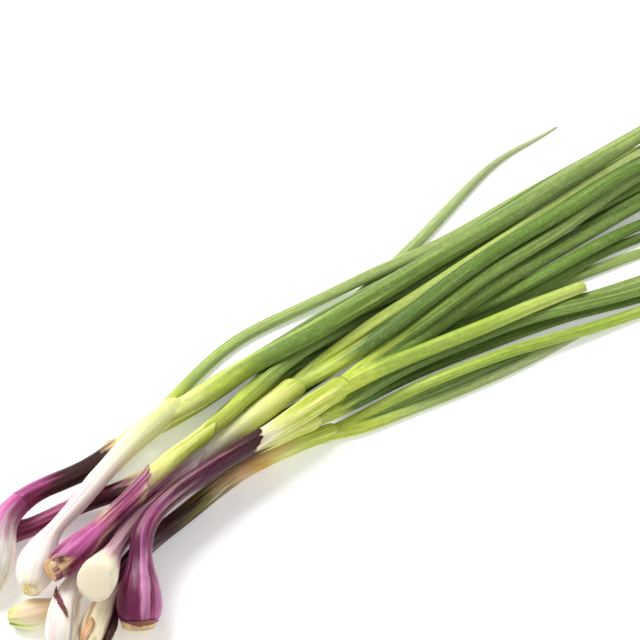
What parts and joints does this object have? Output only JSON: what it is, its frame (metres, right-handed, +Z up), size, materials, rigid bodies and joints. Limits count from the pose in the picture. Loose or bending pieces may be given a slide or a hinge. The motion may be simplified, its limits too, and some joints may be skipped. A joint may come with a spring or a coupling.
{
  "type": "spring onion bunch",
  "caption": "Loose bunch of purple and white spring onions lying on a table, each a bulb with a root plate, a sheathed stem and long hollow green leaves.",
  "frame": {"origin": "on the table, under the middle of the bunch's bounding box", "axes": "+X along the bunch from the roots to the leaf tips, +Y across it, +Z up from the table that it lies on"},
  "size_m": [0.5136, 0.1536, 0.0445],
  "materials": {
    "purple_stem": "satin, white at the bulb, purple and maroon along the stem, green at its top",
    "white_stem": "satin, white at the bulb, pale green towards the leaves",
    "leaf": "waxy satin green, lighter where the leaf leaves the sheath"
  },
  "bodies": {
    "root": {"onion_a_stem": "purple_stem", "onion_a_leaf_1": "leaf", "onion_a_leaf_2": "leaf", "onion_a_leaf_3": "leaf", "onion_b_stem": "white_stem", "onion_b_leaf_1": "leaf", "onion_b_leaf_2": "leaf", "onion_b_leaf_3": "leaf", "onion_c_stem": "purple_stem", "onion_c_leaf_1": "leaf", "onion_c_leaf_2": "leaf", "onion_c_leaf_3": "leaf", "onion_d_stem": "purple_stem", "onion_d_leaf_1": "leaf", "onion_d_leaf_2": "leaf", "onion_d_leaf_3": "leaf", "onion_e_stem": "white_stem", "onion_e_leaf_1": "leaf", "onion_e_leaf_2": "leaf", "onion_e_leaf_3": "leaf", "onion_f_stem": "purple_stem", "onion_f_leaf_1": "leaf", "onion_f_leaf_2": "leaf", "onion_f_leaf_3": "leaf", "onion_g_stem": "purple_stem", "onion_g_leaf_1": "leaf", "onion_g_leaf_2": "leaf", "onion_g_leaf_3": "leaf", "onion_i_stem": "purple_stem", "onion_i_leaf_1": "leaf", "onion_i_leaf_2": "leaf", "onion_i_leaf_3": "leaf", "onion_k_stem": "white_stem", "onion_k_leaf_1": "leaf", "onion_k_leaf_2": "leaf"}
  },
  "joints": []
}
